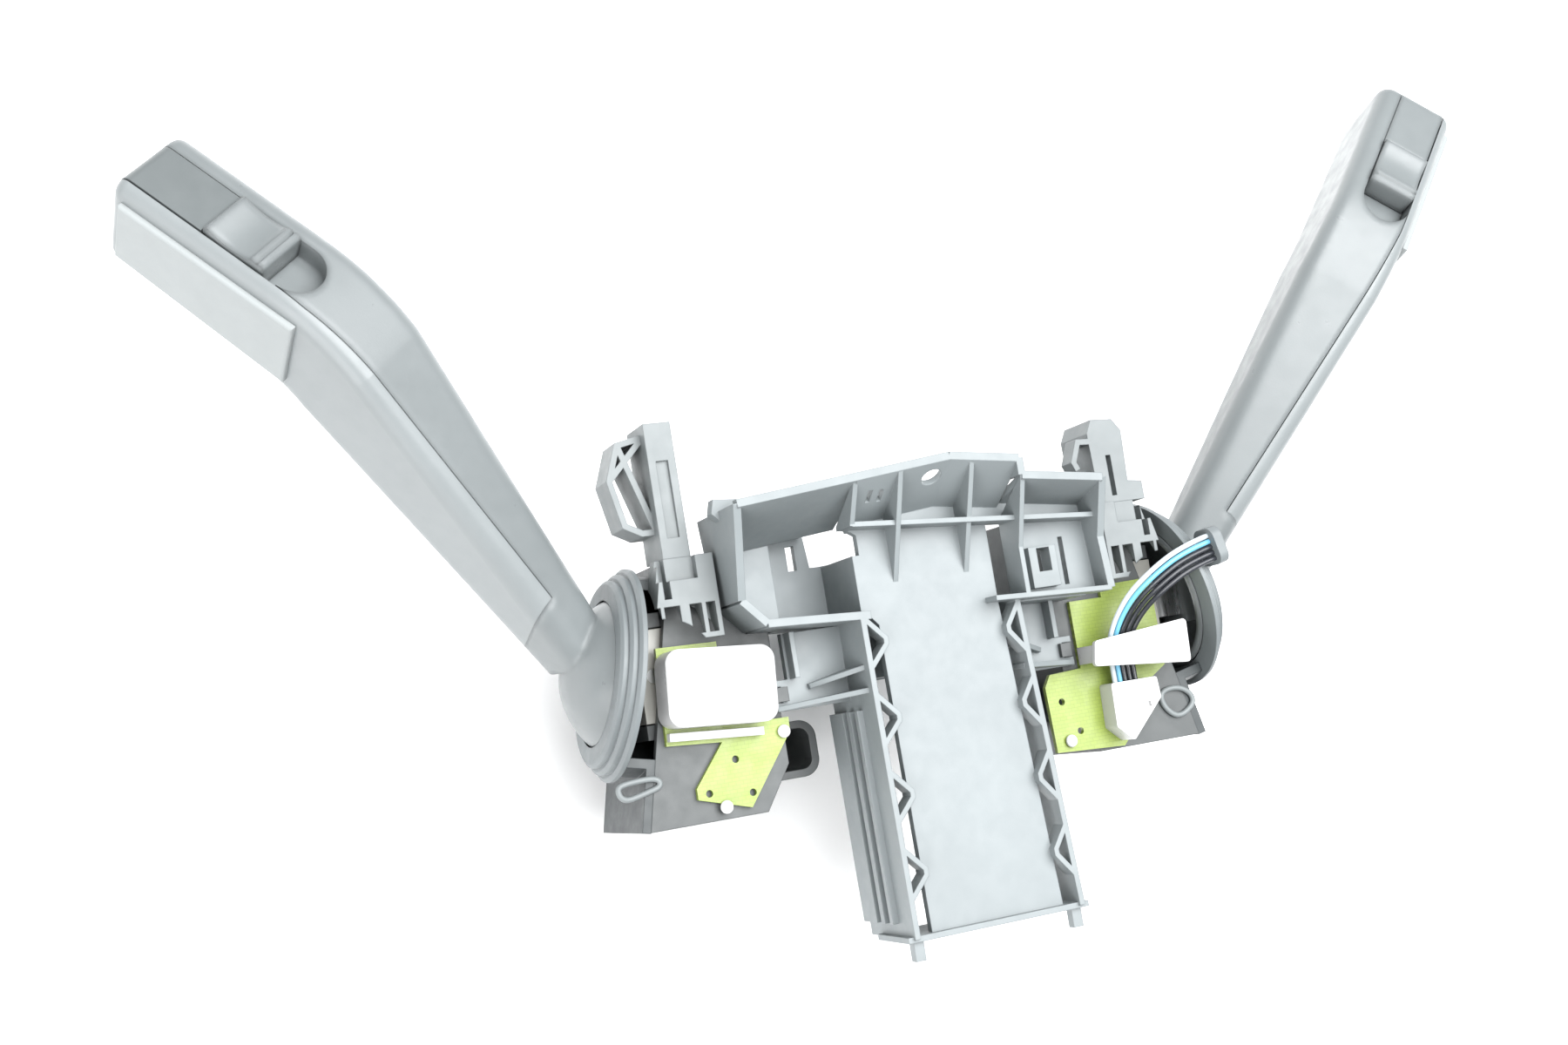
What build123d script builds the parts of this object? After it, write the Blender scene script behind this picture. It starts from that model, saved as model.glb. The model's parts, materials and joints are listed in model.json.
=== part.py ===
"""Combination stalk switch of a steering column, as one assembly of separate pieces.

Frame: +Y runs along the steering column towards the driver, +X to the right of the
picture and +Z up. The origin is on the column axis, inside the clamp collar.
The wiper side is at -X. The signal side is its mirror image, apart from its wiring,
its board, its bracket and the rest angle of its stalk.
"""
import os
from math import atan2, cos, degrees, radians, sin, sqrt, tan

from build123d import *

os.makedirs("parts", exist_ok=True)

# Clearances and fits
running_fit = 0.05
body_gap = 0.4
seam = 0.25

# Column collar
column_bore = 44.0
collar_wall = 5.0
collar_back = -12.0
collar_front = 22.0
collar_middle = (collar_back + collar_front) / 2
clamp_thread = 5.0
clamp_head = 8.5
clamp_head_height = 5.0
clamp_boss = 7.0
clamp_boss_height = 9.0
clamp_socket = 4.0
saddle_half = 15.0
saddle_rib = 4.0
saddle_rise = 24.0

# Carrier: its tray and side walls, and the hood that rises towards the roof edge
face_z = 46.0
plate_top = 43.0
plate_thick = 2.5
wall = 2.2
side_wall = 1.6
thin_rib = 1.4
tongue_half = 24.2
tongue_widening = 1.6
tongue_lean = 2.2
tongue_front = 4.0
tongue_end = -82.0
skirt_bottom = 16.0
rails = ((16.0, 25.5), (28.5, 31.0), (34.5, 36.5))
rail_height = 1.6
rail_start = -20.0
strip_left = 4.8
strip_right = 3.6
truss_pitch = 20.8
truss_count = 4
truss_wall_run = 7.0
truss_tray_run = 1.6
roof_z = 58.5
roof_lip = 3.0
roof_run = 11.0
box_run = 4.0
box_top = 50.0
shelf_top = 50.5
pocket_run = 8.5
pocket_foot = 30.0
pocket_floor = 17.0
arm_high = 44.0
arm_low = 31.0
wing_root = 22.0
wing_reach = 46.8
wing_back = -17.0
wing_neck = 41.5
wing_step = -8.5
peg_size = 3.0
hook_height = 4.0

# Stalk pivots and the round collars about them
pivot_x = 77.0
pivot_y = -2.0
pivot_z = 16.5
pivot_tilt = 12.6
dome_radius = 24.0
dome_wall = 2.2
dome_rim = 7.5
boot_radius = 29.0
boot_back = 8.0
boot_front = 14.2
boot_steps = 3
boot_step = 1.8
flange_back = -0.8
flange_rim = 2.4

# Switch housings
house_top = 27.0
house_bottom = -12.0
house_inner = 44.0
house_outer = 100.0
house_low = -43.0
house_high = 28.0
house_wall = 2.2
house_chamfer = 12.0
base_thick = 2.2
side_tray_top = 10.0
side_tray_reach = 28.5
tray_near = -20.0
tray_far = -36.0
cheek_inner = 13.0
cheek_thick = 4.0
cheek_half = 6.5
cheek_reach = 4.0
cover_top = 37.0
cover_inner = -59.8
cover_low = 5.6
cover_reach = 4.0
cover_step = 3.0
cover_recess = 6.0
cover_windows = ((-62.4, 2.6), (-66.6, 3.4), (-73.2, 4.4), (-77.8, 2.8))

# Screws
screw_diameter = 2.5
screw_head = 4.6
screw_head_height = 2.0
base_screw_length = 9.0
boss_radius = 2.8
base_screw_places = ((-50.0, 22.0), (-57.0, -37.0), (-72.0, -37.0))
clip_place = -12.4
clip_width = 4.0
clip_thick = 1.8
clip_nose = 1.6
clip_gap = 0.2

# Brackets beside the stalks
post_x = -68.8
post_width = 7.8
post_end = 65.0
post_top = 34.0
post_bottom = 18.0
frame_wall = 1.7
frame_depth = 12.0
frame_points = ((-72.0, 62.0), (-79.5, 60.5), (-83.0, 51.0), (-80.5, 38.5), (-76.0, 36.0), (-72.0, 36.0))

short_post_points = (
    (62.0, house_high),
    (61.5, 49.0),
    (63.5, 53.0),
    (70.5, 52.6),
    (73.0, 49.0),
    (72.4, 34.0),
    (77.0, 33.4),
    (77.0, house_high),
)
short_hook_points = ((62.2, 46.6), (58.0, 46.8), (55.6, 41.0), (56.6, 38.6))
short_hook_depth = 6.0

# Boards, block and plug
board_thick = 1.6
board_points = (
    (-77.0, 5.0),
    (-59.8, 4.6),
    (-59.8, 1.2),
    (-49.0, 1.2),
    (-49.0, -18.5),
    (-42.6, -18.5),
    (-42.8, -22.4),
    (-56.8, -40.9),
    (-71.5, -36.6),
    (-71.5, -33.6),
    (-62.5, -22.4),
    (-78.0, -21.2),
)
signal_board_points = (
    (77.0, 5.0),
    (77.0, -21.0),
    (70.5, -25.0),
    (70.5, -31.0),
    (59.0, -42.4),
    (37.0, -41.2),
    (36.5, -22.3),
    (38.6, -18.8),
    (49.0, -18.3),
    (49.0, 1.2),
    (59.8, 1.2),
    (59.8, 4.6),
)
board_hole = 1.0
block_top = 40.0
block_length = 30.5
block_width = 20.6
block_centre = (-63.4, -7.6)
block_turn = -4.5
block_radius = 4.0
block_round = 1.0
strip_centre = (-64.4, -20.1)
strip_height = 3.0

# Stalk: a planar centre line, straight arm, bend and straight paddle
paddle_width = 25.0
paddle_shift = 1.5
paddle_height = 28.0
paddle_drop = 3.0
paddle_length = 55.0
paddle_corner = 4.5
arm_angle = 31.0
arm_start = -97.0
arm_corner = 6.4
arm_base_width = 16.0
arm_base_height = 19.0
arm_base_drop = 1.5
bend_corner = -3.6
bend_radius = 45.0
slot_start = 1.0
slot_width = 15.0
slot_depth = 6.0
slider_length = 18.0
slider_travel = 4.5
slider_rise = 2.0
slider_dish = 0.7
ridge_count = 2
ridge_step = 2.2
ridge_depth = 0.8
tip_length = 24.0
panel_thick = 1.8
panel_start = -1.0
panel_margin = 3.5
tip_round = 3.0
shell_split = 7.5
shell_split_base = 2.5
shell_end = -84.0

# Mechanism inside each housing
lever_width = 10.0
lever_height = 8.0
lever_inner = 20.0
lever_outer = 20.0
socket_wall = 2.5
socket_depth = 8.0
detent_depth = 4.0
detent_width = 13.0
gimbal_bar = 2.6
gimbal_side = 4.6
gimbal_depth = 8.0
trunnion = 5.0
pin_diameter = 4.0
plunger_diameter = 5.0
plunger_length = 12.0
plunger_reach = 27.0
plunger_bore = 14.0
spring_wire = 0.7
spring_coil = 3.6
spring_turns = 4

# Wires
wire_diameter = 1.5
wire_pitch = 1.7
wire_across = 9.6
wire_rise = 30.6
strap_points = ((48.7, -11.3), (79.6, -8.7), (78.9, -21.4), (47.3, -18.4))
strap_feet = ((50.0, -14.9), (75.0, -15.0))
strap_foot = 2.4
strap_top = 40.0
strap_thick = 1.6
plug_x = 60.2
plug_face = -24.0
plug_height = 7.0
plug_points = ((54.0, -24.0), (69.2, -24.0), (69.6, -30.1), (58.5, -41.1), (53.6, -36.5))
plug_slot_centre = (61.4, -31.5)
plug_slot_length = 9.0
plug_slot_width = 1.4
plug_slot_depth = 1.0

tilt = radians(pivot_tilt)
pivot = Vector(-pivot_x, pivot_y, pivot_z)
outward = Vector(-cos(tilt), sin(tilt), 0)
across = Vector(-sin(tilt), -cos(tilt), 0)
pivot_plane = Plane(origin=pivot, x_dir=across, z_dir=outward)
pivot_section = Plane(origin=pivot, x_dir=(0, 0, 1), z_dir=across)
pivot_axis = Axis(pivot, outward)



def stalk_rest(origin, axis, dash):
    """Plane of a stalk at rest: x to its tip, y out of its slot, z away from the dash side."""
    along = Vector(axis).normalized()
    side = Vector(dash)
    side = (side - along * side.dot(along)).normalized()
    return Plane(origin=origin, x_dir=along, z_dir=-side)


# Stalks at rest; the signal stalk's plane is given before it is mirrored
wiper_rest = stalk_rest((-156.0, 96.3, 47.6), (-0.673, 0.700, -0.233), (-0.735, -0.604, 0.300))
signal_rest = stalk_rest((-156.35, 95.12, 50.31), (-0.6535, 0.7249, -0.2178), (-0.7564, -0.615, 0.2227))


def save(builder, label):
    """Label a finished piece and write it under its own name."""
    builder.part.label = label
    export_step(builder.part, f"parts/{label}.step")


def save_mirrored(builder, label):
    """Write the mirror image of a wiper-side piece for the signal side."""
    with BuildPart() as twin:
        mirror(builder.part, about=Plane.YZ)
    save(twin, label)


def sphere_radius_at(radius, reach):
    """Radius of a sphere's circle at a distance from its centre along the pivot axis."""
    return sqrt(radius**2 - reach**2)


def upright_web(start, end, low, high, thickness):
    """Straight upright wall between two plan points."""
    with BuildSketch(Plane.XY.offset(low)) as footprint:
        with BuildLine():
            Line(start, end)
        trace(line_width=thickness)
    extrude(footprint.sketch, amount=high - low)


def tapered_web(start, end, low, high_start, high_end, thickness):
    """Upright wall between two plan points, whose top edge slopes."""
    a = Vector(*start, 0)
    run = Vector(*end, 0) - a
    along = run.normalized()
    sideways = Vector(along.Y, -along.X, 0)
    with BuildSketch(Plane(origin=a - sideways * thickness / 2, x_dir=along, z_dir=sideways)) as face:
        with BuildLine():
            Polyline((0, low), (run.length, low), (run.length, high_end), (0, high_start), close=True)
        make_face()
    extrude(face.sketch, amount=thickness)


# Carrier
roof_left = (-58.3, 37.7)
roof_joint = (-24.0, 41.1)
roof_peak = (4.1, 43.9)
roof_right = (24.9, 41.2)
step_inner = (24.9, 36.4)
step_outer = (49.6, 33.2)
box_left = 25.2
box_near = (51.4, 2.8)
box_kink = 17.4
rail_inner = (15.1, 4.4)
pocket_left = (-56.7, 13.4)
pocket_chamfer = (-50.4, 6.5)
pocket_right = (-20.9, 4.9)
pocket_step = (-42.0, 6.1)
pocket_top = (-42.0, 32.0)
pocket_far = (-21.3, 32.0)
shelf_left = (-24.0, 29.4)
shelf_right = (51.4, 23.7)


def leaning_wall(start, end, run, foot):
    """Wall that leans back from the roof edge down to its foot."""
    a = Vector(*start, 0)
    b = Vector(*end, 0)
    along = (b - a).normalized()
    up_side = Vector(-along.Y, along.X, 0)
    with BuildSketch(Plane(origin=a, x_dir=up_side, z_dir=along)) as profile:
        with BuildLine():
            Polyline(
                (wall / 2, roof_z),
                (-wall / 2, roof_z),
                (-run - wall, foot),
                (-run, foot),
                close=True,
            )
        make_face()
    extrude(profile.sketch, amount=(b - a).length)


def gusset(x, near, far, far_top, apex):
    """Web that stands on the plate and slopes down from the roof edge."""
    floor = plate_top - plate_thick
    with BuildSketch(Plane.YZ.offset(x - thin_rib / 2)) as profile:
        with BuildLine():
            Polyline(
                (near, roof_z),
                (near - roof_run, floor),
                (apex, floor),
                (apex, far_top),
                (far, far_top),
                close=True,
            )
        make_face()
    extrude(profile.sketch, amount=thin_rib)


def tongue_edge(side, y):
    """Outer face of the tongue, which widens and leans a little towards its end."""
    share = (tongue_front - y) / (tongue_front - tongue_end)
    return side * (tongue_half + tongue_widening * share) + tongue_lean * share


def tray_edge(side, y):
    """Edge of the tray, an open strip inside the tongue's side wall."""
    strip = strip_left if side < 0 else strip_right
    return tongue_edge(side, y) - side * (side_wall + strip)


def truss(side, first):
    """Zigzag rib across the open strip, from the side wall to the tray and back."""
    wall_half = (truss_pitch - truss_wall_run) / 2
    tray_half = truss_tray_run / 2
    points = []
    for step in range(truss_count):
        middle = first - step * truss_pitch
        for shift in (wall_half, tray_half, -tray_half, -wall_half):
            y = middle + shift
            at_wall = abs(shift) == wall_half
            x = tongue_edge(side, y) - side * side_wall / 2 if at_wall else tray_edge(side, y)
            points.append((x, y))
    with BuildSketch(Plane.XY.offset(plate_top - plate_thick)) as zigzag:
        with BuildLine():
            Polyline(*points)
        trace(line_width=thin_rib)
    extrude(zigzag.sketch, amount=face_z - plate_top + plate_thick)


with BuildPart() as carrier:
    # Plate: the tongue's tray, the floor under the hood and the floor of the right box
    with BuildSketch(Plane.XY.offset(plate_top - plate_thick)):
        with BuildLine():
            Polyline(
                (tray_edge(-1, tongue_end), tongue_end),
                (tray_edge(1, tongue_end), tongue_end),
                (tray_edge(1, tongue_front), tongue_front),
                (tray_edge(1, tongue_front), 27.0),
                (box_left, 26.0),
                (box_left, 3.4),
                box_near,
                (box_near[0], step_outer[1] - box_run),
                (step_inner[0], step_inner[1] - box_run),
                (roof_peak[0], roof_peak[1] - roof_run),
                (roof_joint[0], roof_joint[1] - roof_run),
                shelf_left,
                (pocket_far[0] + 1.0, 27.0),
                (pocket_right[0] + 0.6, pocket_right[1]),
                (tray_edge(-1, tongue_front), tongue_front - 2),
                close=True,
            )
        make_face()
    extrude(amount=plate_thick)
    # Side walls of the tongue with their outer rails, trusses and pegs
    for side, first_truss in ((-1, -2.5), (1, -4.2)):
        wall_front = (tongue_edge(side, tongue_front) - side * side_wall / 2, tongue_front)
        wall_end = (tongue_edge(side, tongue_end) - side * side_wall / 2, tongue_end)
        upright_web(wall_front, wall_end, skirt_bottom, face_z, side_wall)
        rail_end = tongue_end + 4
        for low, high in rails:
            upright_web(
                (tongue_edge(side, rail_start) + side * rail_height / 2, rail_start),
                (tongue_edge(side, rail_end) + side * rail_height / 2, rail_end),
                low,
                high,
                rail_height + 0.2,
            )
        truss(side, first_truss)
        with Locations((wall_end[0] - side, tongue_end - peg_size, face_z - 4)):
            Box(peg_size, peg_size * 2, peg_size)
    upright_web(
        (tongue_edge(-1, tongue_end) - rail_height, tongue_end),
        (tongue_edge(1, tongue_end) + rail_height, tongue_end),
        skirt_bottom + 8,
        face_z - 1,
        side_wall,
    )
    # Roof edge and the leaning walls under it
    for start, end in ((roof_left, roof_peak), (roof_peak, roof_right), (step_inner, step_outer)):
        upright_web(start, end, roof_z - roof_lip, roof_z, wall)
    upright_web(roof_right, step_inner, plate_top, roof_z, wall)
    leaning_wall(roof_left, (roof_joint[0] + 1.6, roof_joint[1] + 0.1), pocket_run, pocket_foot)
    leaning_wall(roof_joint, roof_peak, roof_run, plate_top - plate_thick)
    leaning_wall(roof_peak, roof_right, roof_run, plate_top - plate_thick)
    leaning_wall(step_inner, step_outer, box_run, plate_top - plate_thick)
    # Shelf rib, the webs of the hood and the walls of the right box
    upright_web(shelf_left, shelf_right, plate_top - thin_rib, shelf_top, thin_rib)
    gusset(roof_joint[0], roof_joint[1], shelf_left[1], shelf_top, shelf_left[1] - 0.5)
    gusset(-10.8, 41.6, 13.0, plate_top, 12.3)
    gusset(10.8, 42.9, 13.0, plate_top, 12.3)
    gusset(box_left, 37.0, box_kink, box_top, 3.4)
    upright_web(rail_inner, box_near, plate_top - plate_thick, box_top, thin_rib)
    upright_web((wing_reach, 3.0), (24.0, 3.8), house_top, plate_top, wall)
    tapered_web(step_outer, (50.6, box_kink), plate_top - plate_thick, roof_z, box_top, wall)
    upright_web((50.6, box_kink), box_near, plate_top - plate_thick, box_top, wall)
    # Pocket at the left: shallow floor on the housing, deep floor beside it
    with BuildSketch(Plane.XY.offset(house_top)):
        with BuildLine():
            Polyline(pocket_top, (roof_left[0] + 0.8, 32.0), pocket_left, pocket_chamfer, pocket_step, close=True)
        make_face()
    extrude(amount=wall)
    tapered_web(roof_left, pocket_left, house_top, roof_z, face_z, wall)
    upright_web(pocket_left, pocket_chamfer, house_top, face_z, wall)
    upright_web(pocket_chamfer, pocket_step, house_top, face_z, wall)
    upright_web(pocket_step, pocket_right, pocket_floor, face_z, wall)
    upright_web(pocket_step, pocket_top, pocket_floor, house_top + wall, wall)
    with BuildSketch(Plane.XY.offset(pocket_floor)):
        with BuildLine():
            Polyline(pocket_top, pocket_step, pocket_right, pocket_far, close=True)
        make_face()
    extrude(amount=wall)
    upright_web((pocket_right[0] - 0.4, pocket_right[1]), (-21.3, 21.5), pocket_floor, plate_top, wall)
    upright_web(pocket_top, (-27.6, 32.0), pocket_floor, pocket_foot + 1, wall)
    # Window through the deep floor, behind the collar
    with BuildSketch(Plane.XY.offset(pocket_floor - 1)):
        with BuildLine():
            Polyline((-27.0, 36.0), (-25.8, 21.8), (-19.0, 21.6), (-19.0, 36.0), close=True)
        make_face()
    extrude(amount=wall + 2, mode=Mode.SUBTRACT)
    # Slots in the pocket's floors
    with Locations((-38.8, 14.0, pocket_floor), (-31.0, 25.0, pocket_floor)):
        Box(2.6, 7.0, 3 * wall, mode=Mode.SUBTRACT)
    # Wings that sit on the two housings, and the forked arms above them
    for side in (-1, 1):
        with BuildSketch(Plane.XY.offset(house_top)):
            with BuildLine():
                Polyline(
                    (side * wing_root, wing_back),
                    (side * wing_reach, wing_back),
                    (side * wing_reach, wing_step),
                    (side * wing_neck, wing_step),
                    (side * wing_neck, tongue_front),
                    (side * wing_root, tongue_front),
                    close=True,
                )
            make_face()
        extrude(amount=plate_thick)
        tapered_web((side * 23.0, -8.5), (side * 36.0, -11.3), house_top, arm_high, arm_low, thin_rib)
        tapered_web((side * 23.0, -14.9), (side * 46.0, -16.2), house_top, arm_high, arm_low, thin_rib)
        upright_web((side * 40.0, wing_step), (side * 40.0, tongue_front), house_top, arm_low + 3, thin_rib)
    # Clip window in its raised frame, and the slot beside it
    with Locations((33.7, 11.4, plate_top)):
        Box(8.6, 11.5, 3.0, align=(Align.CENTER, Align.CENTER, Align.MIN))
    with Locations((33.9, 13.4, plate_top)):
        Box(4.0, 6.6, 12.0, mode=Mode.SUBTRACT)
    with Locations((41.5, 12.5, plate_top)):
        Box(1.4, 13.6, 12.0, mode=Mode.SUBTRACT)
    # Hook beside the roof's left end
    with BuildSketch(Plane.XY.offset(face_z - hook_height)):
        with BuildLine():
            Polyline((-61.4, 37.2), (-60.4, 41.0), (-53.8, 40.4), (-55.0, 36.0), (-59.2, 35.0), close=True)
        make_face()
    extrude(amount=hook_height)
    # Oval hole and two slits through the leaning wall, square to it
    lean = degrees(atan2(roof_z - plate_top + plate_thick, roof_run))
    with Locations(Location((-0.1, 39.1, 53.7), (lean, 0, 0))):
        Cylinder(3.0, 8.0, mode=Mode.SUBTRACT)
    with Locations(Location((-18.5, 36.2, 51.9), (lean, 0, 0)), Location((-15.0, 36.0, 51.5), (lean, 0, 0))):
        Box(1.3, 4.6, 8.0, mode=Mode.SUBTRACT)
    # Collar about the steering column, with the ribs that join it to the plate
    with BuildSketch(Plane.XZ.offset(-collar_back)):
        Circle(column_bore / 2 + collar_wall)
        with Locations((0, -column_bore / 2 - clamp_boss_height / 2)):
            Rectangle(2 * clamp_boss, clamp_boss_height)
        for place in (-saddle_half, 0, saddle_half):
            with Locations((place, plate_top - plate_thick)):
                Rectangle(saddle_rib, saddle_rise, align=(Align.CENTER, Align.MAX))
    extrude(amount=-(collar_front - collar_back))
    for end in (collar_back, collar_front - saddle_rib):
        with BuildSketch(Plane.XZ.offset(-end)):
            with Locations((0, plate_top - plate_thick)):
                Rectangle(2 * saddle_half, saddle_rise, align=(Align.CENTER, Align.MAX))
        extrude(amount=-saddle_rib)
    with BuildSketch(Plane.XZ.offset(-collar_back)):
        Circle(column_bore / 2)
    extrude(amount=-(collar_front - collar_back), mode=Mode.SUBTRACT)
    with Locations((0, collar_middle, -column_bore / 2 - clamp_boss_height / 2)):
        Cylinder(clamp_thread / 2, 3 * clamp_boss_height, mode=Mode.SUBTRACT)
    # Notches in the wings' edges for the housings' clips
    for side in (-1, 1):
        with Locations((side * wing_reach, clip_place, house_top + plate_thick / 2)):
            Box(
                2 * (wing_reach - house_inner + clip_gap),
                clip_width + 2 * clip_gap,
                2 * plate_thick,
                mode=Mode.SUBTRACT,
            )
save(carrier, "carrier")

# Clamp screw, whose point stops short of the bore
screw_seat = -column_bore / 2 - clamp_boss_height
with BuildPart() as clamp_screw:
    with Locations((0, collar_middle, screw_seat)):
        Cylinder(
            clamp_thread / 2,
            clamp_boss_height - 1,
            align=(Align.CENTER, Align.CENTER, Align.MIN),
        )
        Cylinder(
            clamp_head / 2,
            clamp_head_height,
            align=(Align.CENTER, Align.CENTER, Align.MAX),
        )
        with Locations((0, 0, -clamp_head_height)):
            Cylinder(
                clamp_socket / 2,
                clamp_head_height,
                mode=Mode.SUBTRACT,
            )
save(clamp_screw, "clamp_screw")


def house_outline(inset):
    """Plan of a housing, moved inwards by a wall's thickness."""
    return (
        (-house_inner - inset, house_high - inset),
        (-house_inner - inset, house_low + house_chamfer + inset / 2),
        (-house_inner - house_chamfer * 0.66 - inset / 2, house_low + inset),
        (-house_outer, house_low + inset),
        (-house_outer, house_high - inset),
    )


# Switch housing: open at the bottom and outwards, with two cheeks for the gimbal
with BuildPart() as housing:
    with BuildSketch(Plane.XY.offset(house_bottom)):
        with BuildLine():
            Polyline(*house_outline(0), close=True)
        make_face()
    extrude(amount=house_top - house_bottom)
    with BuildSketch(Plane.XY.offset(house_bottom)):
        with BuildLine():
            Polyline(*house_outline(house_wall), close=True)
        make_face()
    extrude(amount=house_top - house_bottom - house_wall, mode=Mode.SUBTRACT)
    with Locations(*[(x, y, house_bottom) for x, y in base_screw_places]):
        Cylinder(
            boss_radius,
            house_top - house_bottom - 1,
            align=(Align.CENTER, Align.CENTER, Align.MIN),
        )
    for side in (-1, 1):
        cheek_y = pivot_y + side * (cheek_inner + cheek_thick / 2)
        with Locations((-pivot_x + 12.0, cheek_y, pivot_z - cheek_half)):
            Box(
                22.0,
                cheek_thick,
                house_top - pivot_z + cheek_half - 1,
                align=(Align.CENTER, Align.CENTER, Align.MIN),
            )
    split(bisect_by=pivot_plane.offset(flange_back), keep=Keep.BOTTOM)
    for side in (-1, 1):
        cheek_y = pivot_y + side * (cheek_inner + cheek_thick / 2)
        with Locations((-pivot_x, cheek_y, pivot_z)):
            Box(2 * cheek_reach, cheek_thick, 2 * cheek_half)
    with Locations(Plane(origin=pivot, x_dir=(1, 0, 0), z_dir=(0, 1, 0))):
        Cylinder(trunnion / 2 + running_fit, 4 * cheek_inner, mode=Mode.SUBTRACT)
    with Locations(*[(x, y, house_bottom) for x, y in base_screw_places]):
        Cylinder(screw_diameter / 2, 2 * base_screw_length, mode=Mode.SUBTRACT)
    # Clip that reaches through the wing's notch and over its top
    with Locations((-house_inner - clip_thick, clip_place, house_top - 1)):
        Box(
            clip_thick,
            clip_width,
            plate_thick + clip_nose + 1,
            align=(Align.MIN, Align.CENTER, Align.MIN),
        )
    with Locations((-house_inner - clip_thick, clip_place, house_top + plate_thick + clip_gap)):
        Box(
            clip_thick + clip_nose,
            clip_width,
            clip_nose - clip_gap,
            align=(Align.MIN, Align.CENTER, Align.MIN),
        )
    # Side tray beside the tongue, open at the top, with a curved inner corner
    with BuildSketch(Plane.XY.offset(house_bottom)):
        with Locations((-house_inner - 1, (tray_near + tray_far) / 2)):
            RectangleRounded(2 * (house_inner + 1 - side_tray_reach), tray_near - tray_far, 5.0)
            Rectangle(2 * house_inner, tray_near - tray_far, align=(Align.MAX, Align.CENTER), mode=Mode.SUBTRACT)
    extrude(amount=side_tray_top - house_bottom)
    with BuildSketch(Plane.XY.offset(house_bottom + house_wall)):
        with Locations((-house_inner - 1, (tray_near + tray_far) / 2)):
            RectangleRounded(
                2 * (house_inner + 1 - side_tray_reach - house_wall), tray_near - tray_far - 2 * house_wall, 3.0
            )
            Rectangle(2 * house_inner, tray_near - tray_far, align=(Align.MAX, Align.CENTER), mode=Mode.SUBTRACT)
    extrude(amount=side_tray_top - house_bottom, mode=Mode.SUBTRACT)
save(housing, "wiper_housing")
save_mirrored(housing, "signal_housing")

# Base plate that closes the housing from below, and its screws
with BuildPart() as base:
    with BuildSketch(Plane.XY.offset(house_bottom - base_thick)):
        with BuildLine():
            Polyline(*house_outline(0), close=True)
        make_face()
    extrude(amount=base_thick)
    split(bisect_by=pivot_plane.offset(flange_back), keep=Keep.BOTTOM)
    with Locations(*[(x, y, house_bottom) for x, y in base_screw_places]):
        Cylinder(screw_diameter / 2, 3 * base_thick, mode=Mode.SUBTRACT)
save(base, "wiper_base")
save_mirrored(base, "signal_base")

with BuildPart() as base_screws:
    both_sides = [(side * x, y, house_bottom - base_thick) for side in (-1, 1) for x, y in base_screw_places]
    with Locations(*both_sides):
        Cylinder(
            screw_diameter / 2,
            base_screw_length,
            align=(Align.CENTER, Align.CENTER, Align.MIN),
        )
        Cylinder(
            screw_head / 2,
            screw_head_height,
            align=(Align.CENTER, Align.CENTER, Align.MAX),
        )
save(base_screws, "base_screws")

# Flange: plate on the outer face of the housing, with a half rim that carries the boot
rim_hole = dome_radius + 2 * body_gap
with BuildPart() as flange:
    with BuildSketch(pivot_plane.offset(flange_back)):
        with Locations((0.6 - (house_high - pivot_y) / cos(tilt), house_top - pivot_z)):
            Rectangle(
                (house_high - house_low) / cos(tilt) - 0.6,
                house_top - house_bottom + base_thick,
                align=(Align.MIN, Align.MAX),
            )
        Circle(rim_hole, mode=Mode.SUBTRACT)
    extrude(amount=flange_rim)
    with BuildSketch(pivot_plane.offset(flange_back)):
        Circle(rim_hole + flange_rim)
        Circle(rim_hole, mode=Mode.SUBTRACT)
        with Locations((0, house_top - pivot_z)):
            Rectangle(4 * dome_radius, 2 * dome_radius, align=(Align.CENTER, Align.MIN), mode=Mode.SUBTRACT)
    extrude(amount=boot_back - flange_back)
save(flange, "wiper_flange")
save_mirrored(flange, "signal_flange")

# Ridged boot ring in front of the flange, hollowed to the dome's sphere
with BuildPart() as boot:
    hollow = dome_radius + body_gap
    step_depth = (boot_front - boot_back) / boot_steps
    with BuildSketch(pivot_section):
        with BuildLine():
            ridge = [(sphere_radius_at(hollow, boot_back), boot_back)]
            for step in range(boot_steps):
                radius = boot_radius - step * boot_step
                low = boot_back + step * step_depth
                ridge.append((radius, low))
                ridge.append((radius, low + step_depth - 0.8))
                ridge.append((radius - 1.0, low + step_depth))
            ridge.append((sphere_radius_at(hollow, boot_front), boot_front))
            Polyline(*ridge)
            middle = (boot_back + boot_front) / 2
            ThreePointArc(ridge[-1], (sphere_radius_at(hollow, middle), middle), ridge[0])
        make_face()
    revolve(axis=pivot_axis)
save(boot, "wiper_boot")


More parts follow.
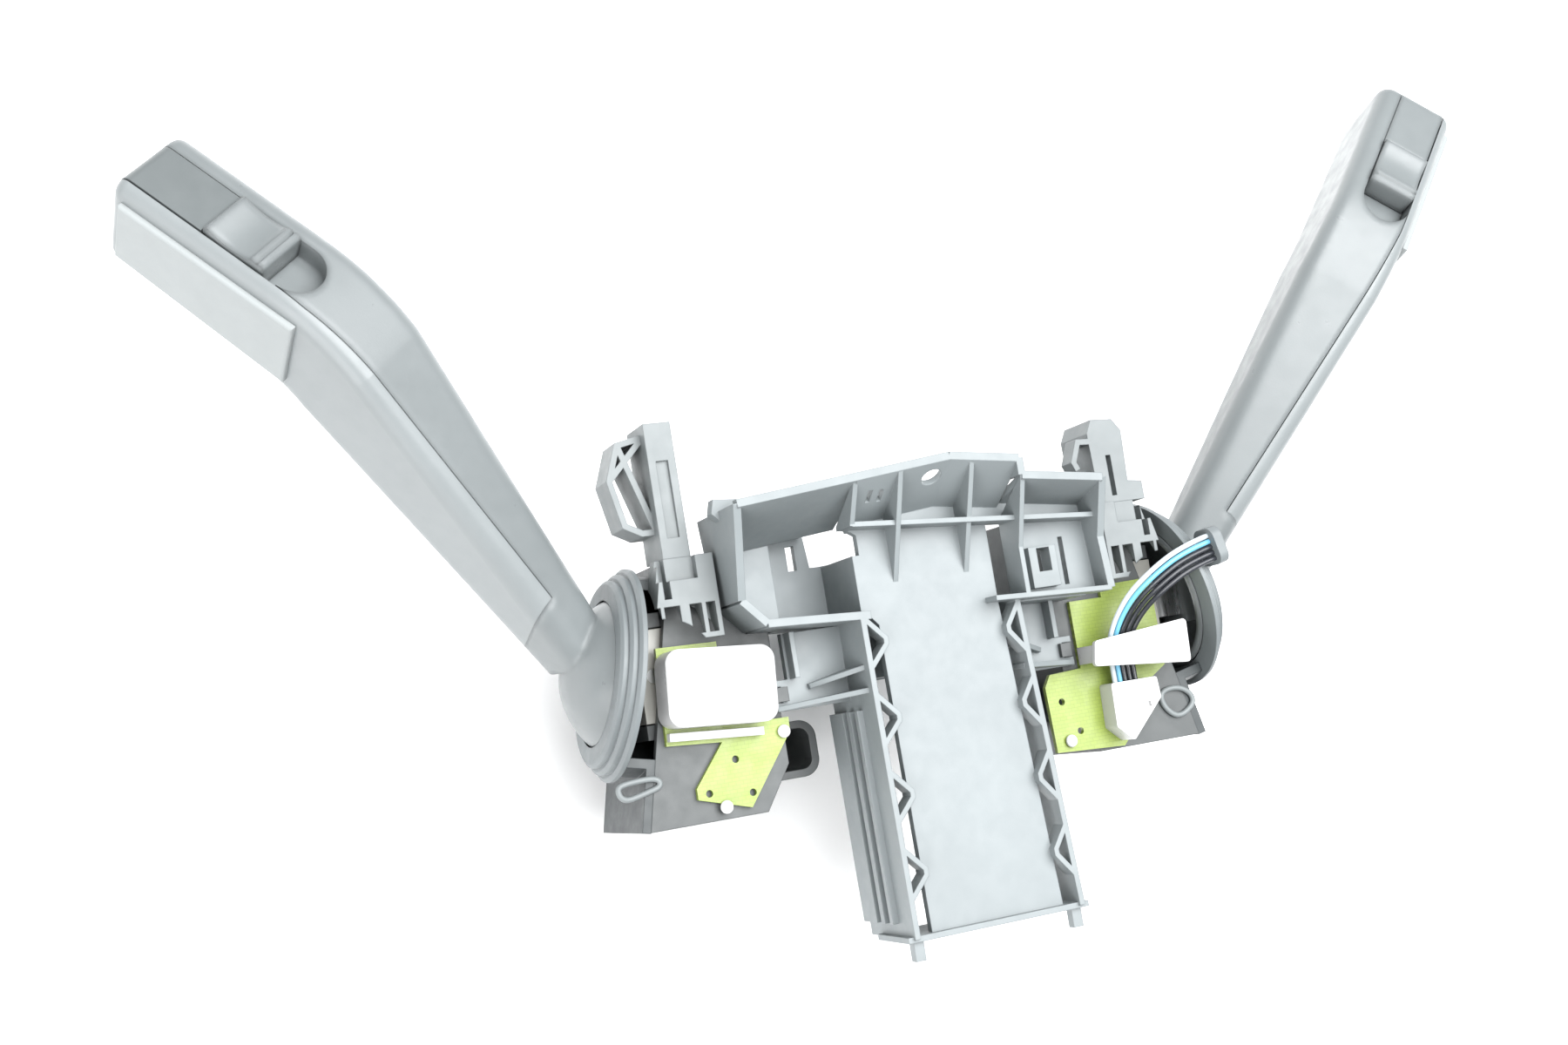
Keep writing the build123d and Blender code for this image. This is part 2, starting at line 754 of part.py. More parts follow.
# Stepped cover on the housing, beside the carrier's pocket
with BuildPart() as cover:
    with BuildSketch(Plane.XY.offset(house_top)):
        with BuildLine():
            Polyline(
                (cover_inner, cover_low),
                (cover_inner, house_high),
                (-house_outer, house_high),
                (-house_outer, cover_low),
                close=True,
            )
        make_face()
    extrude(amount=cover_top - house_top)
    split(bisect_by=pivot_plane.offset(cover_reach), keep=Keep.BOTTOM)
    # Room for the dome over its whole travel
    with Locations(pivot):
        Sphere(dome_radius + 2 * body_gap, mode=Mode.SUBTRACT)
    # Stepped level towards the outside
    with Locations((cover_inner - 5.0, 21.8, cover_top)):
        Box(38.0, 10.0, 2 * cover_step, align=(Align.MAX, Align.MIN, Align.CENTER), mode=Mode.SUBTRACT)
    # Windows over the contacts, and a slot beside the post
    for window_x, window_width in cover_windows:
        with Locations((window_x, cover_low + 5.4, cover_top)):
            Box(window_width, 8.0, 2 * cover_recess, mode=Mode.SUBTRACT)
    with Locations((cover_inner - 14.0, 23.0, cover_top)):
        Box(2.0, 12.0, 2 * cover_recess, mode=Mode.SUBTRACT)
save(cover, "wiper_cover")
save_mirrored(cover, "signal_cover")

# Bracket: upright post and an outer frame with a diagonal web
with BuildPart() as bracket:
    with Locations((post_x, house_high, post_bottom)):
        Box(
            post_width,
            post_end - house_high,
            post_top - post_bottom,
            align=(Align.CENTER, Align.MIN, Align.MIN),
        )
    with Locations((post_x, house_high + 16.0, post_top)):
        Box(post_width - 4.4, post_end - house_high - 40.0 + 24.0, 2.0, mode=Mode.SUBTRACT)
    with BuildSketch(Plane.XY.offset(post_bottom)):
        with BuildLine():
            frame_line = Polyline(*frame_points)
        trace(line_width=frame_wall)
        with BuildLine():
            Line(frame_points[1], frame_points[5])
            Line(frame_points[2], frame_points[0])
        trace(line_width=frame_wall)
    extrude(amount=frame_depth)
save(bracket, "wiper_bracket")

with BuildPart() as short_bracket:
    with BuildSketch(Plane.XY.offset(post_bottom)):
        with BuildLine():
            Polyline(*short_post_points, close=True)
        make_face()
    extrude(amount=post_top - post_bottom)
    with BuildSketch(Plane.XY.offset(post_top - short_hook_depth)):
        with BuildLine():
            Polyline(*short_hook_points)
        trace(line_width=frame_wall)
    extrude(amount=short_hook_depth)
    with Locations((67.2, 36.0, post_top)):
        Box(1.6, 12.0, 5.0, mode=Mode.SUBTRACT)
save(short_bracket, "signal_bracket")

# Circuit boards on the housings
with BuildPart() as board:
    with BuildSketch(Plane.XY.offset(house_top)):
        with BuildLine():
            Polyline(*board_points, close=True)
        make_face()
        with Locations((-59.5, -27.5), (-56.0, -37.0), (-68.2, -35.4)):
            Circle(board_hole, mode=Mode.SUBTRACT)
    extrude(amount=board_thick)
save(board, "wiper_board")

with BuildPart() as signal_board:
    with BuildSketch(Plane.XY.offset(house_top)):
        with BuildLine():
            Polyline(*signal_board_points, close=True)
        make_face()
        with Locations((41.0, -27.0), (45.5, -36.0)):
            Circle(board_hole, mode=Mode.SUBTRACT)
    extrude(amount=board_thick)
save(signal_board, "signal_board")

# White relay block on the wiper board, with a terminal strip along its foot
board_top = house_top + board_thick
with BuildPart() as relay:
    with BuildSketch(Plane.XY.offset(board_top)):
        with Locations(Location(block_centre, block_turn)):
            RectangleRounded(block_length, block_width, block_radius)
    extrude(amount=block_top - board_top)
    chamfer(relay.faces().sort_by(Axis.Z)[-1].edges(), block_round)
save(relay, "wiper_relay")

with BuildPart() as strip:
    with BuildSketch(Plane.XY.offset(board_top)):
        with Locations(Location(strip_centre, block_turn)):
            Rectangle(block_length - 4.0, 2.2)
    extrude(amount=strip_height)
save(strip, "wiper_terminal_strip")

# Gimbal: a frame round the lever, turning on two trunnions along Y
gimbal_inner_y = cheek_inner - body_gap - gimbal_side
gimbal_inner_z = lever_height / 2 + body_gap
with BuildPart() as gimbal:
    with BuildSketch(Plane.YZ.offset(-pivot_x - gimbal_depth / 2)):
        with Locations((pivot_y, pivot_z)):
            Rectangle(2 * (cheek_inner - body_gap), 2 * (gimbal_inner_z + gimbal_bar))
            Rectangle(2 * gimbal_inner_y, 2 * gimbal_inner_z, mode=Mode.SUBTRACT)
    extrude(amount=gimbal_depth)
    for side in (-1, 1):
        face_y = pivot_y + side * (cheek_inner - body_gap)
        with Locations(Plane(origin=(-pivot_x, face_y, pivot_z), x_dir=(1, 0, 0), z_dir=(0, side, 0))):
            Cylinder(
                trunnion / 2,
                cheek_thick,
                align=(Align.CENTER, Align.CENTER, Align.MIN),
            )
    with Locations(pivot):
        Cylinder(pin_diameter / 2, 4 * gimbal_inner_z, mode=Mode.SUBTRACT)
save(gimbal, "wiper_gimbal")
save_mirrored(gimbal, "signal_gimbal")

with BuildPart() as pull_pin:
    with Locations(pivot):
        Cylinder(pin_diameter / 2, 2 * (gimbal_inner_z + gimbal_bar))
save(pull_pin, "wiper_pull_pin")
save_mirrored(pull_pin, "signal_pull_pin")

# Lever: turns on the pull pin and carries the stalk outside and the plunger inside
lever_end = Plane(origin=pivot + Vector(lever_inner, 0, 0), x_dir=(0, 1, 0), z_dir=(-1, 0, 0))
with BuildPart() as lever:
    with Locations(pivot + Vector((lever_inner - lever_outer) / 2, 0, 0)):
        Box(lever_inner + lever_outer, lever_width, lever_height)
    with Locations(pivot):
        Cylinder(pin_diameter / 2 + running_fit, 2 * lever_height, mode=Mode.SUBTRACT)
    with Locations(lever_end):
        Cylinder(
            plunger_diameter / 2 + running_fit,
            plunger_bore,
            align=(Align.CENTER, Align.CENTER, Align.MIN),
            mode=Mode.SUBTRACT,
        )
save(lever, "wiper_lever")
save_mirrored(lever, "signal_lever")

# Detent plunger with a round nose, and the coil spring behind it
nose = plunger_diameter / 2
nose_x = -pivot_x + plunger_reach
with BuildPart() as plunger:
    with BuildSketch(Plane(origin=(nose_x, pivot_y, pivot_z), x_dir=(0, 0, 1), z_dir=(0, 1, 0))):
        with BuildLine():
            Polyline((0, 0), (0, -plunger_length), (nose, -plunger_length), (nose, -nose))
            CenterArc((0, -nose), nose, 0, 90)
        make_face()
    revolve(axis=Axis((nose_x, pivot_y, pivot_z), (1, 0, 0)))
save(plunger, "wiper_plunger")
save_mirrored(plunger, "signal_plunger")

spring_length = plunger_bore - (plunger_length - (plunger_reach - lever_inner))
spring_start = Vector(nose_x - plunger_length - spring_wire, pivot_y, pivot_z)
with BuildPart() as spring:
    with BuildLine():
        coil = Helix(
            pitch=(spring_length - 2 * spring_wire) / spring_turns,
            height=spring_length - 2 * spring_wire,
            radius=spring_coil / 2,
            center=spring_start,
            direction=(-1, 0, 0),
        )
    with BuildSketch(Plane(origin=coil @ 0, z_dir=coil % 0)):
        RegularPolygon(spring_wire / 2, 4)
    sweep(path=coil)
save(spring, "wiper_spring")
save_mirrored(spring, "signal_spring")

# Detent block on the inner wall, hollowed to the arc of the plunger's nose
track_hollow = plunger_reach + body_gap
with BuildPart() as track:
    with Locations((-house_inner - house_wall, pivot_y, pivot_z)):
        Box(
            pivot_x - house_inner - house_wall - plunger_reach + detent_depth,
            detent_width,
            detent_width,
            align=(Align.MAX, Align.CENTER, Align.CENTER),
        )
    with Locations(pivot):
        Sphere(track_hollow, mode=Mode.SUBTRACT)
save(track, "wiper_detent_block")
save_mirrored(track, "signal_detent_block")

# Stalks: straight tapered arm, round bend and straight paddle, joined to the dome
bend_share = bend_radius * tan(radians(arm_angle) / 2)
bend_end = bend_corner + bend_share
bend_start = bend_corner - bend_share * cos(radians(arm_angle))
arm_rise = tan(radians(arm_angle))
slot_face = paddle_height / 2
slider_outer = paddle_length - tip_length - body_gap
slider_inner = slider_outer - slider_length


def stalk_height(x):
    """Height of the arm's centre line in the stalk plane."""
    return (x - bend_corner) * arm_rise


def stalk_point(rest, x, y, side=0.0):
    """A point of the stalk at rest, moved towards the dash side."""
    return rest.origin + rest.x_dir * x + rest.y_dir * y - rest.z_dir * side


def stalk_section(rest, x, angle, width, height, corner, centre):
    """Rounded section across the stalk; its centre is given towards the dash and the slot."""
    along = rest.x_dir * cos(radians(angle)) + rest.y_dir * sin(radians(angle))
    rise = stalk_height(x) if angle else 0
    with BuildSketch(Plane(origin=stalk_point(rest, x, rise), x_dir=-rest.z_dir, z_dir=along)) as section:
        with Locations(centre):
            RectangleRounded(width, height, corner)
    return section.sketch


def slot_plane(rest):
    """Plane of the slot's face: x to the tip, y to the dash side."""
    return Plane(origin=stalk_point(rest, 0, slot_face), x_dir=rest.x_dir, z_dir=rest.y_dir)


def build_stalk(rest):
    """Whole stalk with its dome, before it is divided into shells."""
    tall = paddle_height + paddle_drop
    bend_centre = (-paddle_shift, -paddle_drop / 2)
    base = stalk_section(
        rest, arm_start, arm_angle, arm_base_width, arm_base_height, arm_corner, (0, -arm_base_drop)
    )
    bend = stalk_section(rest, bend_start, arm_angle, paddle_width, tall, paddle_corner, bend_centre)
    paddle = stalk_section(rest, bend_end, 0, paddle_width, tall, paddle_corner, bend_centre)
    tip_end = stalk_section(rest, paddle_length, 0, paddle_width, paddle_height, paddle_corner, (-paddle_shift, 0))
    with BuildPart() as body:
        loft([base, bend], ruled=True)
        turn_axis = Axis(stalk_point(rest, bend_end, -bend_radius), rest.z_dir)
        revolve(paddle, axis=turn_axis, revolution_arc=arm_angle)
        loft([paddle, tip_end], ruled=True)
        tip_face = body.faces().sort_by(Axis(rest.origin, rest.x_dir))[-1]
        fillet(tip_face.edges(), tip_round)
        with Locations(pivot):
            Sphere(dome_radius)
        split(bisect_by=pivot_plane.offset(dome_rim), keep=Keep.TOP)
        with Locations(pivot):
            Sphere(dome_radius - dome_wall, mode=Mode.SUBTRACT)
        # Socket for the lever
        with Locations(pivot + Vector(-lever_outer - 1.5, 0, 0)):
            Box(
                socket_depth,
                lever_width + 2 * socket_wall,
                lever_height + 2 * socket_wall,
                align=(Align.MIN, Align.CENTER, Align.CENTER),
            )
        with Locations(pivot):
            Box(2 * lever_outer, lever_width, lever_height, mode=Mode.SUBTRACT)
        # Slot for the slider and the tip piece, with a round inner end
        with BuildSketch(slot_plane(rest)):
            with Locations((slot_start + slot_width / 2, 0)):
                Circle(slot_width / 2)
                Rectangle(paddle_length, slot_width, align=(Align.MIN, Align.CENTER))
        extrude(amount=-slot_depth, mode=Mode.SUBTRACT)
    return body


def split_cutter(rest, shift):
    """Solid on the dash side of the parting surface, moved towards the dash by a shift."""
    reach = 3 * paddle_height
    with BuildPart() as cutter:
        with BuildSketch(slot_plane(rest).offset(paddle_height)):
            with BuildLine():
                Polyline(
                    (shell_end, shell_split_base + shift),
                    (0, shell_split + shift),
                    (paddle_length + 10, shell_split + shift),
                    (paddle_length + 10, paddle_width),
                    (shell_end, paddle_width),
                    close=True,
                )
            make_face()
        extrude(amount=-2 * reach)
    return cutter


def build_panel(rest):
    """Raised panel on the dash side of the paddle, which follows its taper."""
    dash_face = paddle_width / 2 - paddle_shift
    panel_end = paddle_length - panel_margin
    high = paddle_height / 2 - paddle_corner
    with BuildPart() as panel:
        with BuildSketch(Plane(origin=stalk_point(rest, 0, 0, dash_face), x_dir=rest.x_dir, z_dir=-rest.z_dir)):
            with BuildLine():
                Polyline(
                    (panel_start, high + paddle_drop),
                    (panel_end, high),
                    (panel_end, -high),
                    (panel_start, -high),
                    close=True,
                )
            make_face()
        extrude(amount=panel_thick)
        fillet(panel.faces().sort_by(Axis(rest.origin, -rest.z_dir))[-1].edges(), panel_thick / 2)
    return panel


def build_tip(rest):
    """Tip piece that fills the outer part of the slot."""
    half = slot_width / 2 - seam
    inner = paddle_length - tip_length
    with BuildPart() as tip:
        with BuildSketch(rest.offset(-half)):
            with BuildLine():
                Polyline(
                    (paddle_length - tip_round, slot_face),
                    (inner, slot_face),
                    (inner, slot_face - slot_depth),
                    (paddle_length, slot_face - slot_depth),
                    (paddle_length, slot_face - tip_round),
                )
                RadiusArc(
                    (paddle_length, slot_face - tip_round),
                    (paddle_length - tip_round, slot_face),
                    -tip_round,
                )
            make_face()
        extrude(amount=2 * half)
    return tip


def build_slider(rest):
    """Slider with a dished top and ridges, on a foot that runs in the slot."""
    half = slot_width / 2 - body_gap
    top = slot_face + slider_rise
    foot = slot_face - slot_depth + body_gap
    with BuildPart() as slider:
        with BuildSketch(rest.offset(-half)):
            with BuildLine():
                ridges = [(slider_inner, foot), (slider_inner, top - ridge_depth)]
                for step in range(ridge_count):
                    x = slider_inner + step * ridge_step
                    ridges.append((x + 0.6, top))
                    ridges.append((x + ridge_step - 0.5, top))
                    ridges.append((x + ridge_step, top - ridge_depth))
                Polyline(*ridges)
                dish_end = (slider_outer - 1.0, top)
                dish_middle = ((ridges[-1][0] + dish_end[0]) / 2, top - ridge_depth - slider_dish)
                ThreePointArc(ridges[-1], dish_middle, dish_end)
                Polyline(dish_end, (slider_outer, top - ridge_depth), (slider_outer, foot), ridges[0])
            make_face()
        extrude(amount=2 * half)
    return slider


for side_name, rest, keep in (("wiper", wiper_rest, save), ("signal", signal_rest, save_mirrored)):
    whole_stalk = build_stalk(rest)
    with BuildPart() as stalk:
        add(whole_stalk.part)
        add(split_cutter(rest, 0).part, mode=Mode.SUBTRACT)
    keep(stalk, f"{side_name}_stalk")
    with BuildPart() as stalk_cover:
        add(whole_stalk.part)
        add(split_cutter(rest, seam).part, mode=Mode.INTERSECT)
    keep(stalk_cover, f"{side_name}_stalk_cover")
    keep(build_panel(rest), f"{side_name}_grip_panel")
    keep(build_tip(rest), f"{side_name}_tip")
    keep(build_slider(rest), f"{side_name}_slider")

# Strap over the wires, which widens outwards and stands on two feet
with BuildPart() as strap:
    with BuildSketch(Plane.XY.offset(strap_top - strap_thick)):
        with BuildLine():
            Polyline(*strap_points, close=True)
        make_face()
    extrude(amount=strap_thick)
    for foot in strap_feet:
        with BuildSketch(Plane.XY.offset(board_top)):
            with Locations(foot):
                Rectangle(strap_foot, 5.0)
        extrude(amount=strap_top - strap_thick - board_top)
    fillet(strap.edges().filter_by(Axis.Z).group_by(Axis.Z)[-1], 1.2)
save(strap, "signal_wire_strap")

# Plug with a slanted foot, at the end of the wires
with BuildPart() as plug:
    with BuildSketch(Plane.XY.offset(board_top)):
        with BuildLine():
            Polyline(*plug_points, close=True)
        make_face()
    extrude(amount=plug_height)
    fillet(plug.edges().filter_by(Axis.Z), 0.8)
    with Locations((*plug_slot_centre, board_top + plug_height)):
        Box(plug_slot_length, plug_slot_width, 2 * plug_slot_depth, mode=Mode.SUBTRACT)
save(plug, "signal_plug")

# The signal side's boot carries a lug that the wires leave
with BuildPart() as signal_boot:
    add(boot.part)
    with BuildSketch(pivot_plane.offset(boot_front - 1)):
        with Locations((-wire_across, wire_rise - 2.0)):
            RectangleRounded(11.0, 10.0, 3.0)
    extrude(amount=3.0)
save_mirrored(signal_boot, "signal_boot")

# Wires, side by side: out of the lug, over the boot, under the strap, into the plug
exit_point = pivot + outward * (boot_front - 1) - across * wire_across + Vector(0, 0, wire_rise)
wire_centre = [
    exit_point,
    exit_point - outward * 9.0,
    Vector(-69.5, 3.2, 45.0),
    Vector(-62.6, -2.8, 41.0),
    Vector(-plug_x + 1.6, -11.4, 36.2),
    Vector(-plug_x, plug_face + 5.6, 33.0),
    Vector(-plug_x, plug_face, 33.0),
]


def wire_route(offset):
    """Corner points of one wire, beside the bundle's middle in plan."""
    route = []
    for index, point in enumerate(wire_centre):
        before = wire_centre[max(index - 1, 0)]
        after = wire_centre[min(index + 1, len(wire_centre) - 1)]
        heading = after - before
        heading = Vector(heading.X, heading.Y, 0).normalized()
        route.append(point + Vector(-heading.Y, heading.X, 0) * offset)
    return route


def bend_radii(route):
    """Arc for each corner, as large as its two runs allow."""
    radii = []
    for before, corner, after in zip(route, route[1:], route[2:]):
        turn = radians((corner - before).get_angle(after - corner))
        shorter = min((corner - before).length, (after - corner).length)
        radii.append(0.45 * shorter / tan(turn / 2))
    return radii


for place, name in enumerate(("wire_white", "wire_blue", "wire_black_inner", "wire_black_middle", "wire_black_outer")):
    route = wire_route((2 - place) * wire_pitch)
    radii = bend_radii(route)
    print(name, [round(radius, 1) for radius in radii])
    with BuildPart() as wire:
        with BuildLine():
            wire_path = FilletPolyline(*route, radius=radii)
        with BuildSketch(Plane(origin=wire_path @ 0, z_dir=wire_path % 0)):
            RegularPolygon(wire_diameter / 2, 6)
        sweep(path=wire_path)
    save_mirrored(wire, name)
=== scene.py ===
"""Looks of the combination stalk switch: materials, round wires and springs, floor and light.

Lengths are in metres, except where a name says mm. The frame is the part's own: +Y along
the steering column towards the driver, +X to the signal stalk's side, +Z up.
"""

import json
from math import cos, pi, sin

import bpy
from mathutils import Matrix, Vector


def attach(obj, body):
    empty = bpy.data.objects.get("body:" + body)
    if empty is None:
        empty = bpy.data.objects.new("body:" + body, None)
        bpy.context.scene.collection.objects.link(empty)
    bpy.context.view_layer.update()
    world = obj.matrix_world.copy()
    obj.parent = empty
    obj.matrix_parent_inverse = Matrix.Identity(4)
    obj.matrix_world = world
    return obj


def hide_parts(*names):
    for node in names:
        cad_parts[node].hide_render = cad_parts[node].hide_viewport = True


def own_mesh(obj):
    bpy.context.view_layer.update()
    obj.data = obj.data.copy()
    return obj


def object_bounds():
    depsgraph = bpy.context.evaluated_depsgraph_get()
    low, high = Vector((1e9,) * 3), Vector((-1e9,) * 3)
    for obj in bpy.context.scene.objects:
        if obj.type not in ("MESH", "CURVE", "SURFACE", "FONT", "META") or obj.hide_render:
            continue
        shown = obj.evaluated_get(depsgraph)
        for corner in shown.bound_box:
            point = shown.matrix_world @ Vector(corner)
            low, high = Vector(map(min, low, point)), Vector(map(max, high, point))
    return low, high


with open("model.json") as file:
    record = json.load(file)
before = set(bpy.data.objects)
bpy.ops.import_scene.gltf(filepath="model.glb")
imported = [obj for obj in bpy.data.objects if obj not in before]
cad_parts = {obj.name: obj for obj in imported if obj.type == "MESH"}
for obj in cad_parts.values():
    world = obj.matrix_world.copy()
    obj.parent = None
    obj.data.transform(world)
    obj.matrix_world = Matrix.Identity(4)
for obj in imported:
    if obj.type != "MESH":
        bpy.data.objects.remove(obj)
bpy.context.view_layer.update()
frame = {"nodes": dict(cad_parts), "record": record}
nodes = frame["nodes"]
MM = 0.001

# Camera: the photograph's place and direction
CAMERA_AT = (-0.220195, -0.017320, 0.510302)
CAMERA_RIGHT = (0.92697, -0.15925, 0.33964)
CAMERA_UP = (0.11397, 0.98218, 0.14947)
CAMERA_BACK = (-0.35739, -0.09984, 0.92860)
SENSOR_MM = 36.0
LENS_MM = 43.0
CLIP_START = 0.01

# Lights: place, width and power of each, all aimed at one point of the part
LIGHT_TARGET = (0, 0, 0.02)
OVERHEAD_AT = (0.22, 0.26, 1.1)
OVERHEAD_SIZE = 1.3
OVERHEAD_WATTS = 50.0
OVERHEAD_TINT = (0.985, 0.995, 1.0)
KEY_AT = (-0.92, -0.55, 0.55)
KEY_SIZE = 1.0
KEY_WATTS = 15.0
WORLD_COLOUR = (0.97, 0.99, 1.0, 1)
WORLD_STRENGTH = 0.45

# Floor
FLOOR_SIZE = 6.0
FLOOR_GAP = 0.002
FLOOR_WAVES = 6.0
FLOOR_SHADES = ((0.86, 0.86, 0.86), (0.9, 0.9, 0.9))
FLOOR_ROUGHNESS = 0.9

# Noise of the materials, in waves per metre
FLOW_WAVES = 38.0
WEAR_WAVES = 190.0
GRAIN_WAVES = 2600.0
STALK_GRAIN = 1900.0
GRIP_GRAIN = 1500.0
RUBBER_GRAIN = 1200.0
DRAWN_WAVES = 700.0
DRAWN_STRETCH = (1.0, 0.08, 0.08)
TRACK_WAVES = 240.0
TRACK_GAP = 0.012
PATCH_WAVES = 90.0
LACQUER_WAVES = 300.0

# The part of a noise's range that is spread over the whole of a ramp
NOISE_LOW = 0.3
NOISE_HIGH = 0.7

# Height of the surfaces' relief and the radius that the shading gives to edges
GRAIN_DEPTH = 0.00004
FINE_DEPTH = 0.00002
RUBBER_DEPTH = 0.00006
GRIP_DEPTH = 0.00008
EDGE_ROUNDING = 0.0004
STALK_ROUNDING = 0.003
EDGE_SAMPLES = 6


def add_camera():
    """Camera at the photograph's angle, with no shift and no depth of field."""
    data = bpy.data.cameras.new("camera")
    data.sensor_width = SENSOR_MM
    data.lens = LENS_MM
    data.clip_start = CLIP_START
    camera = bpy.data.objects.new("camera", data)
    bpy.context.scene.collection.objects.link(camera)
    turn = Matrix((CAMERA_RIGHT, CAMERA_UP, CAMERA_BACK)).transposed()
    camera.matrix_world = Matrix.Translation(CAMERA_AT) @ turn.to_4x4()
    bpy.context.scene.camera = camera


def add_area_light(name, place, size, power, tint=(1, 1, 1)):
    """Soft square light at a place, aimed at the part."""
    data = bpy.data.lights.new(name, "AREA")
    data.size = size
    data.energy = power
    data.color = tint
    light = bpy.data.objects.new(name, data)
    light.location = place
    aim = Vector(LIGHT_TARGET) - Vector(place)
    light.rotation_euler = aim.to_track_quat("-Z", "Y").to_euler()
    bpy.context.scene.collection.objects.link(light)


class Shader:
    """Small helper that builds one node-based material."""

    def __init__(self, name):
        self.material = bpy.data.materials.new(name)
        self.material.use_nodes = True
        self.tree = self.material.node_tree
        self.surface = self.tree.nodes["Principled BSDF"]
        self.place = self.add("ShaderNodeTexCoord").outputs["Object"]

    def add(self, kind, **values):
        """Adds a node and sets its inputs by name."""
        node = self.tree.nodes.new(kind)
        for key, value in values.items():
            node.inputs[key.replace("_", " ")].default_value = value
        return node

    def link(self, start, end):
        """Joins two sockets."""
        self.tree.links.new(start, end)

    def noise(self, scale, detail=3.0, rough=0.5, stretch=None):
        """Noise in the object's own coordinates, in waves per metre."""
        node = self.add("ShaderNodeTexNoise", Scale=scale, Detail=detail, Roughness=rough)
        if stretch is None:
            self.link(self.place, node.inputs["Vector"])
        else:
            mapping = self.add("ShaderNodeMapping", Scale=stretch)
            self.link(self.place, mapping.inputs["Vector"])
            self.link(mapping.outputs["Vector"], node.inputs["Vector"])
        return node.outputs["Fac"]

    def ramp(self, source, low, high):
        """Spreads a noise between two limits."""
        node = self.add("ShaderNodeMapRange", To_Min=low, To_Max=high)
        node.inputs["From Min"].default_value = NOISE_LOW
        node.inputs["From Max"].default_value = NOISE_HIGH
        self.link(source, node.inputs["Value"])
        return node.outputs["Result"]

    def blend(self, source, first, second):
        """Mixes two colours by a value."""
        node = self.tree.nodes.new("ShaderNodeMix")
        node.data_type = "RGBA"
        node.inputs["A"].default_value = (*first, 1)
        node.inputs["B"].default_value = (*second, 1)
        self.link(source, node.inputs["Factor"])
        return node.outputs["Result"]

    def bump(self, source, strength, depth, rounding=0.0):
        """Raises the shading by a value, and softens the edges where a radius is given."""
        node = self.add("ShaderNodeBump", Strength=strength, Distance=depth)
        if rounding:
            edges = self.add("ShaderNodeBevel", Radius=rounding)
            edges.samples = EDGE_SAMPLES
            self.link(edges.outputs["Normal"], node.inputs["Normal"])
        self.link(source, node.inputs["Height"])
        self.link(node.outputs["Normal"], self.surface.inputs["Normal"])


def scaled(colour, factor):
    """A colour made lighter or darker."""
    return tuple(min(1.0, channel * factor) for channel in colour)


def moulded(
    name,
    colour,
    roughness,
    grain=GRAIN_WAVES,
    depth=GRAIN_DEPTH,
    spread=0.08,
    rounding=EDGE_ROUNDING,
):
    """Moulded plastic: fine grain, faint flow marks and slight wear of its shine."""
    shader = Shader(name)
    flow = shader.ramp(shader.noise(FLOW_WAVES, detail=4.0), 0.0, 1.0)
    shader.link(
        shader.blend(flow, scaled(colour, 1 - spread), scaled(colour, 1 + spread)),
        shader.surface.inputs["Base Color"],
    )
    marks = shader.noise(WEAR_WAVES, detail=5.0, rough=0.6)
    wear = shader.ramp(marks, roughness - 0.07, roughness + 0.07)
    shader.link(wear, shader.surface.inputs["Roughness"])
    shader.bump(shader.noise(grain, detail=2.0), 0.35, depth, rounding)
    return shader.material


def plated(name, colour, roughness):
    """Plated steel with fine drawn lines."""
    shader = Shader(name)
    lines = shader.noise(DRAWN_WAVES, detail=3.0, stretch=DRAWN_STRETCH)
    shader.link(
        shader.blend(shader.ramp(lines, 0.0, 1.0), scaled(colour, 0.85), scaled(colour, 1.1)),
        shader.surface.inputs["Base Color"],
    )
    shine = shader.ramp(lines, roughness - 0.08, roughness + 0.1)
    shader.link(shine, shader.surface.inputs["Roughness"])
    shader.surface.inputs["Metallic"].default_value = 1.0
    shader.bump(lines, 0.2, FINE_DEPTH)
    return shader.material


def lacquered_board(name, colour):
    """Circuit board: lacquer over faint tracks."""
    shader = Shader(name)
    tracks = shader.add("ShaderNodeTexBrick", Scale=TRACK_WAVES)
    tracks.inputs["Mortar Size"].default_value = TRACK_GAP
    tracks.inputs["Color1"].default_value = (*scaled(colour, 1.0), 1)
    tracks.inputs["Color2"].default_value = (*scaled(colour, 0.93), 1)
    tracks.inputs["Mortar"].default_value = (*scaled(colour, 0.72), 1)
    shader.link(shader.place, tracks.inputs["Vector"])
    patches = shader.ramp(shader.noise(PATCH_WAVES, detail=2.0), 0.0, 1.0)
    mixed = shader.tree.nodes.new("ShaderNodeMix")
    mixed.data_type = "RGBA"
    mixed.blend_type = "MULTIPLY"
    mixed.inputs["Factor"].default_value = 1.0
    shader.link(tracks.outputs["Color"], mixed.inputs["A"])
    shader.link(shader.blend(patches, (0.9, 0.92, 0.85), (1.0, 1.0, 1.0)), mixed.inputs["B"])
    shader.link(mixed.outputs["Result"], shader.surface.inputs["Base Color"])
    shine = shader.ramp(shader.noise(LACQUER_WAVES), 0.3, 0.45)
    shader.link(shine, shader.surface.inputs["Roughness"])
    shader.bump(tracks.outputs["Fac"], 0.15, GRAIN_DEPTH)
    return shader.material


